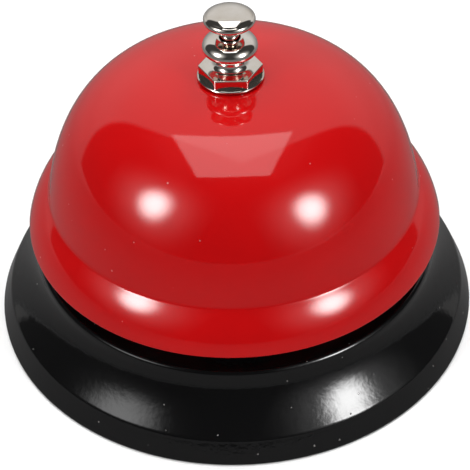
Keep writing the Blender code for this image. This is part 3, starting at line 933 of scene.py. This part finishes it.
def make_lights(base):
    """Area lights for diffuse surfaces, cards for reflections. The base gets a dimmer left card."""
    far, size = LAMP_DISTANCE, LAMP_CARD
    left, right, over = toward(*LEFT_LAMP), toward(*RIGHT_LAMP), toward(*OVERHEAD)
    area_light("key_left", left, far, KEY_SIZE, KEY_WATTS)
    area_light("key_right", right, far, KEY_SIZE, KEY_WATTS)
    area_light("ceiling", over, PANEL_DISTANCE, CEILING_WIDTH, CEILING_WATTS, "RECTANGLE", CEILING_DEPTH)
    lamp = soft_lamp(LAMP_PEAK, LAMP_HALF_WIDTH, LAMP_HALF_HEIGHT, HALO_PEAK, HALO_SPREAD)
    card("glow_right", right, far, size, size, lamp)
    glow_left = card("glow_left", left, far, size, size, lamp)
    dim_width = LAMP_HALF_WIDTH * DIM_LAMP_WIDENING
    dim_lamp = soft_lamp(DIM_LAMP_PEAK, dim_width, LAMP_HALF_HEIGHT, DIM_HALO_PEAK, HALO_SPREAD)
    glow_base = card("glow_left_on_base", left, DIM_LAMP_FURTHER * far, size, size, dim_lamp)
    panel = soft_panel(PANEL_PEAK, PANEL_HALF_WIDTH, PANEL_HALF_HEIGHT, PANEL_EDGE)
    card("glow_over", over, PANEL_DISTANCE, PANEL_CARD, PANEL_CARD, panel)
    only = bpy.data.collections.new("only_base")
    only.objects.link(base)
    rest = bpy.data.collections.new("all_but_base")
    for obj in bpy.context.scene.objects:
        if obj.type == "MESH" and obj is not base:
            rest.objects.link(obj)
    glow_left.light_linking.receiver_collection = rest
    glow_base.light_linking.receiver_collection = only


ROOM_DARK = 0.05
DARK_ROUND_LAMP = 63.0
DARK_EDGE = 2.0
BACKDROP_FOOT = 0.36
BACKDROP_MIDDLE = 0.70
BACKDROP_RISE = 0.5
BACKDROP_FRONT = 0.5
BACKDROP_TURN = 0.3


def make_world():
    """Camera rays see plain white. Others see a pale room that is dark in a wide circle round each lamp."""
    world = bpy.data.worlds.new("studio")
    bpy.context.scene.world = world
    world.use_nodes = True
    world.node_tree.nodes.clear()
    output = node(world, "ShaderNodeOutputWorld")
    white = node(world, "ShaderNodeBackground", Color=(1.0, 1.0, 1.0, 1.0))
    room = node(world, "ShaderNodeBackground", Color=(1.0, 0.985, 0.97, 1.0))
    way = node(world, "ShaderNodeTexCoord").outputs["Generated"]
    parts = node(world, "ShaderNodeSeparateXYZ")
    link(world, way, parts.inputs[0])
    pale = soft_step(world, parts.outputs["Z"], 0.0, BACKDROP_RISE, BACKDROP_FOOT, BACKDROP_MIDDLE)
    behind = soft_step(world, parts.outputs["Y"], -BACKDROP_TURN, BACKDROP_TURN, BACKDROP_FRONT, 1.0)
    pale = math_node(world, "MULTIPLY", pale, behind)
    wide = math.cos(math.radians(DARK_ROUND_LAMP + DARK_EDGE))
    narrow = math.cos(math.radians(DARK_ROUND_LAMP - DARK_EDGE))
    for lamp in (LEFT_LAMP, RIGHT_LAMP):
        nearness = node(world, "ShaderNodeVectorMath", operation="DOT_PRODUCT")
        link(world, way, nearness.inputs[0])
        nearness.inputs[1].default_value = toward(*lamp)
        outside = soft_step(world, nearness.outputs["Value"], wide, narrow, 1.0, 0.0)
        pale = math_node(world, "MULTIPLY", pale, outside)
    link(world, math_node(world, "ADD", pale, ROOM_DARK), room.inputs["Strength"])
    choose = node(world, "ShaderNodeMixShader")
    link(world, node(world, "ShaderNodeLightPath").outputs["Is Camera Ray"], choose.inputs["Fac"])
    link(world, room.outputs[0], choose.inputs[1])
    link(world, white.outputs[0], choose.inputs[2])
    link(world, choose.outputs[0], output.inputs["Surface"])


FLOOR_SIZE = 24.0
FLOOR_NEAR = 0.08
FLOOR_FAR = 0.32
FLOOR_WHITE = 0.93
FLOOR_IN_REFLECTIONS = 0.17
FLOOR_GLOW_FRONT = 0.18
FLOOR_GLOW_BEHIND = 0.34


def make_floor():
    """A plain pale floor that fades into the white background. Reflections see it dimmer."""
    floor = rectangle("floor", FLOOR_SIZE, FLOOR_SIZE)
    material, shader = new_material("floor", (FLOOR_WHITE, FLOOR_WHITE, FLOOR_WHITE), 0.6)
    shader.inputs["Specular IOR Level"].default_value = 0.0
    tree = material.node_tree
    sight = tree.nodes.new("ShaderNodeLightPath")
    where = place(material)
    white, dim = (FLOOR_WHITE,) * 3, (FLOOR_IN_REFLECTIONS,) * 3
    link(material, mixed(material, sight.outputs["Is Glossy Ray"], white, dim), shader.inputs["Base Color"])
    length = node(material, "ShaderNodeVectorMath", operation="LENGTH")
    link(material, where, length.inputs[0])
    fade = soft_step(material, length.outputs["Value"], FLOOR_NEAR, FLOOR_FAR, 0.0, 1.0)
    parts = node(material, "ShaderNodeSeparateXYZ")
    link(material, where, parts.inputs[0])
    behind = soft_step(material, parts.outputs["Y"], -0.1, 0.4, FLOOR_GLOW_FRONT, FLOOR_GLOW_BEHIND)
    seen = node(material, "ShaderNodeMix")
    link(material, sight.outputs["Is Camera Ray"], seen.inputs["Factor"])
    link(material, behind, seen.inputs["A"])
    seen.inputs["B"].default_value = 1.0
    glow = tree.nodes.new("ShaderNodeEmission")
    link(material, seen.outputs["Result"], glow.inputs["Strength"])
    joined = tree.nodes.new("ShaderNodeMixShader")
    link(material, fade, joined.inputs["Fac"])
    link(material, shader.outputs[0], joined.inputs[1])
    link(material, glow.outputs[0], joined.inputs[2])
    link(material, joined.outputs[0], tree.nodes["Material Output"].inputs["Surface"])
    floor.data.materials.append(material)


# ---------------------------------------------------------------- build

make_camera()
make_gong()
base_pan = make_base()
make_ring()
make_finial()
make_button()
make_rod()
make_post()
make_nut("lock_nut", "post_lock_nut")
make_nut("support_nut", "gong_support_nut")
ring_piece("washer_on_strap", "post_washer", "bell", "zinc_steel")
ring_piece("washer_under_fibre", "steel_washer", "bell", "zinc_steel")
ring_piece("fibre_washer", "gong_washer", "bell", "red_fibre", 0.2)
ring_piece("collar_on_rod", "rod_collar", "plunger", "brass")
make_rivets()
make_slug()
make_spring()
keep_node("bridge_bracket", "zinc_steel", 0.14 * MM)
keep_node("hammer_arm", "zinc_steel", 0.14 * MM)
keep_node("pivot_pin", "zinc_steel", 0.12 * MM, BARE_STEEL)
keep_node("pin_clip", "spring_steel", 0.05 * MM)
make_lights(base_pan)
make_world()
make_floor()
bpy.context.scene.view_settings.view_transform = "Standard"
bpy.context.scene.view_settings.look = "None"
